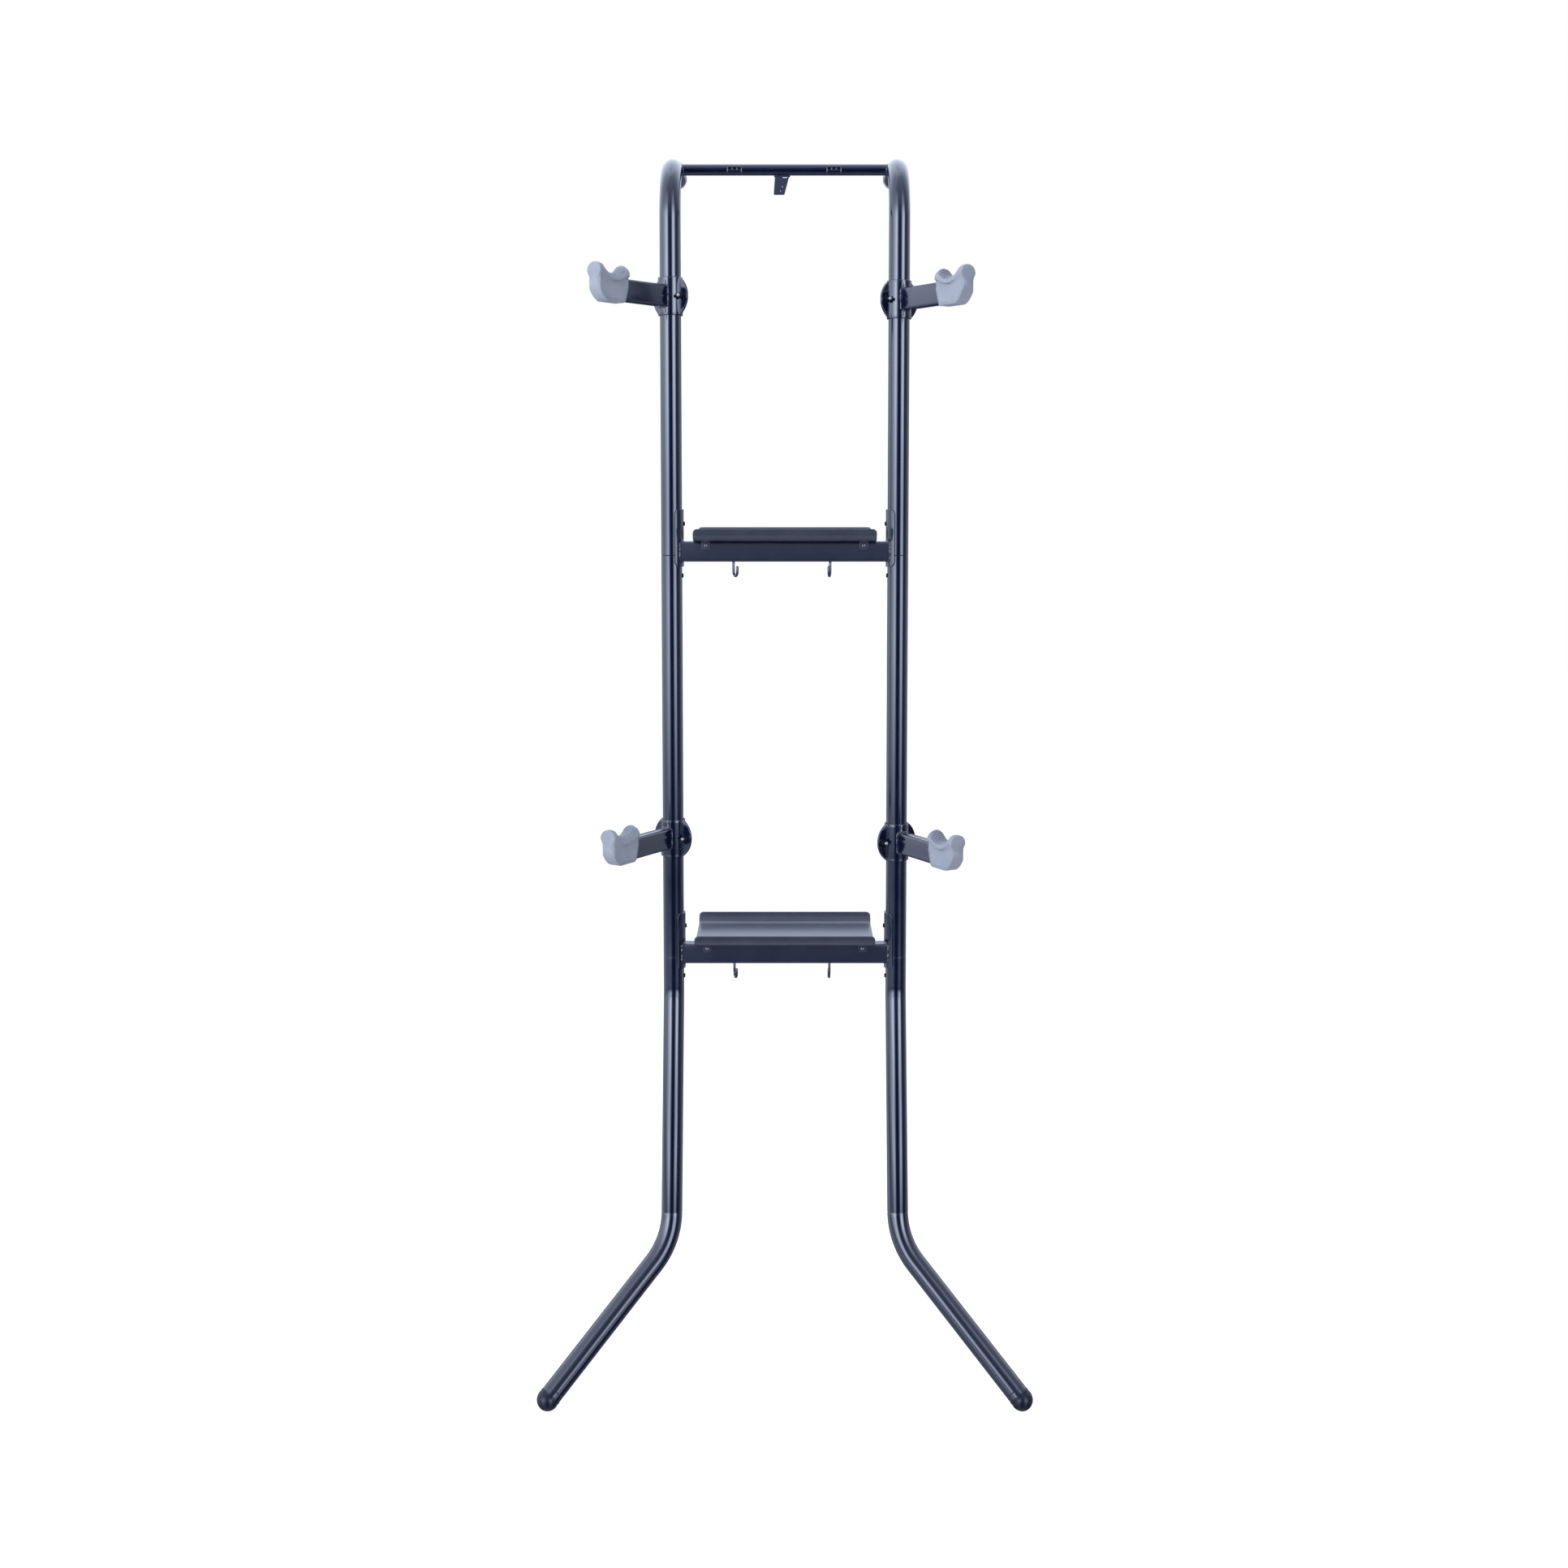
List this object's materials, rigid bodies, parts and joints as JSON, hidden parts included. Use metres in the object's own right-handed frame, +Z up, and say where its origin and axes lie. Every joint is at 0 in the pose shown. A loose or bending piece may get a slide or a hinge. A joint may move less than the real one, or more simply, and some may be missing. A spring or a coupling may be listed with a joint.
{
  "type": "bike rack",
  "caption": "Tall tube rack that leans on a wall, with trays on cross tubes and padded swivel arms that carry bicycles.",
  "frame": {"origin": "on the floor, midway between the posts and midway between the front of the feet and the wall", "axes": "+Z up, +Y towards the wall, +X to the right for someone who faces the rack"},
  "size_m": [0.8058, 0.412, 2.0516],
  "materials": {
    "powder_coat": "satin dark navy powder coat",
    "cradle_rubber": "matte blue grey moulded rubber",
    "bumper_rubber": "matte pale grey",
    "cap_plastic": "satin dark moulding",
    "sleeve_plastic": "plain",
    "zinc_plate": "zinc plated",
    "black_steel": "black oxide"
  },
  "bodies": {
    "rack_frame": {"upper_post_left": "powder_coat", "upper_post_right": "powder_coat", "middle_post_left": "powder_coat", "middle_post_right": "powder_coat", "leg_left": "powder_coat", "leg_right": "powder_coat", "top_bar": "powder_coat", "wall_bumper_left": "bumper_rubber", "wall_bumper_right": "bumper_rubber", "foot_cap_left": "cap_plastic", "foot_cap_right": "cap_plastic", "wall_tether_tab": "powder_coat", "hanging_clip_left": "powder_coat", "hanging_clip_right": "powder_coat", "upper_crossbar": "powder_coat", "upper_tray": "powder_coat", "upper_tray_screw_left": "zinc_plate", "upper_saddle_bolt_left": "zinc_plate", "upper_joint_screw_left": "zinc_plate", "upper_tray_screw_right": "zinc_plate", "upper_saddle_bolt_right": "zinc_plate", "upper_joint_screw_right": "zinc_plate", "lower_crossbar": "powder_coat", "lower_tray": "powder_coat", "lower_tray_screw_left": "zinc_plate", "lower_saddle_bolt_left": "zinc_plate", "lower_joint_screw_left": "zinc_plate", "lower_tray_screw_right": "zinc_plate", "lower_saddle_bolt_right": "zinc_plate", "lower_joint_screw_right": "zinc_plate"},
    "upper_left_sleeve": {"upper_left_clamp_liner": "sleeve_plastic"},
    "upper_left_arm_unit": {"upper_left_arm": "powder_coat", "upper_left_clamp_back": "powder_coat", "upper_left_cradle": "cradle_rubber", "upper_left_clamp_bolt_outer": "black_steel", "upper_left_clamp_bolt_inner": "black_steel"},
    "upper_right_sleeve": {"upper_right_clamp_liner": "sleeve_plastic"},
    "upper_right_arm_unit": {"upper_right_arm": "powder_coat", "upper_right_clamp_back": "powder_coat", "upper_right_cradle": "cradle_rubber", "upper_right_clamp_bolt_outer": "black_steel", "upper_right_clamp_bolt_inner": "black_steel"},
    "lower_left_sleeve": {"lower_left_clamp_liner": "sleeve_plastic"},
    "lower_left_arm_unit": {"lower_left_arm": "powder_coat", "lower_left_clamp_back": "powder_coat", "lower_left_cradle": "cradle_rubber", "lower_left_clamp_bolt_outer": "black_steel", "lower_left_clamp_bolt_inner": "black_steel"},
    "lower_right_sleeve": {"lower_right_clamp_liner": "sleeve_plastic"},
    "lower_right_arm_unit": {"lower_right_arm": "powder_coat", "lower_right_clamp_back": "powder_coat", "lower_right_cradle": "cradle_rubber", "lower_right_clamp_bolt_outer": "black_steel", "lower_right_clamp_bolt_inner": "black_steel"},
    "upper_left_hook": {"upper_hook_left": "powder_coat"},
    "upper_right_hook": {"upper_hook_right": "powder_coat"},
    "lower_left_hook": {"lower_hook_left": "powder_coat"},
    "lower_right_hook": {"lower_hook_right": "powder_coat"}
  },
  "joints": [
    {"name": "upper_left_height", "type": "slide", "parent": "rack_frame", "child": "upper_left_sleeve", "axis": [0, 0, 1], "range_m": [-0.3, 0.085]},
    {"name": "upper_left_swivel", "type": "hinge", "parent": "upper_left_sleeve", "child": "upper_left_arm_unit", "pos_m": [-0.19, 0.026, 1.8106], "axis": [0, 0, 1], "range_deg": [-52, 98]},
    {"name": "upper_right_height", "type": "slide", "parent": "rack_frame", "child": "upper_right_sleeve", "axis": [0, 0, 1], "range_m": [-0.3, 0.085]},
    {"name": "upper_right_swivel", "type": "hinge", "parent": "upper_right_sleeve", "child": "upper_right_arm_unit", "pos_m": [0.19, 0.026, 1.8051], "axis": [0, 0, 1], "range_deg": [-93, 57]},
    {"name": "lower_left_height", "type": "slide", "parent": "rack_frame", "child": "lower_left_sleeve", "axis": [0, 0, 1], "range_m": [-0.08, 0.38]},
    {"name": "lower_left_swivel", "type": "hinge", "parent": "lower_left_sleeve", "child": "lower_left_arm_unit", "pos_m": [-0.19, 0.026, 0.9026], "axis": [0, 0, 1], "range_deg": [-58, 92]},
    {"name": "lower_right_height", "type": "slide", "parent": "rack_frame", "child": "lower_right_sleeve", "axis": [0, 0, 1], "range_m": [-0.08, 0.38]},
    {"name": "lower_right_swivel", "type": "hinge", "parent": "lower_right_sleeve", "child": "lower_right_arm_unit", "pos_m": [0.19, 0.026, 0.8952], "axis": [0, 0, 1], "range_deg": [-89.5, 60.5]},
    {"name": "upper_left_hook_swivel", "type": "hinge", "parent": "rack_frame", "child": "upper_left_hook", "pos_m": [-0.0862, 0.026, 1.371], "axis": [0, 0, 1], "continuous": true},
    {"name": "upper_right_hook_swivel", "type": "hinge", "parent": "rack_frame", "child": "upper_right_hook", "pos_m": [0.0763, 0.026, 1.371], "axis": [0, 0, 1], "continuous": true},
    {"name": "lower_left_hook_swivel", "type": "hinge", "parent": "rack_frame", "child": "lower_left_hook", "pos_m": [-0.0862, 0.026, 0.6855], "axis": [0, 0, 1], "continuous": true},
    {"name": "lower_right_hook_swivel", "type": "hinge", "parent": "rack_frame", "child": "lower_right_hook", "pos_m": [0.0763, 0.026, 0.6855], "axis": [0, 0, 1], "continuous": true}
  ]
}
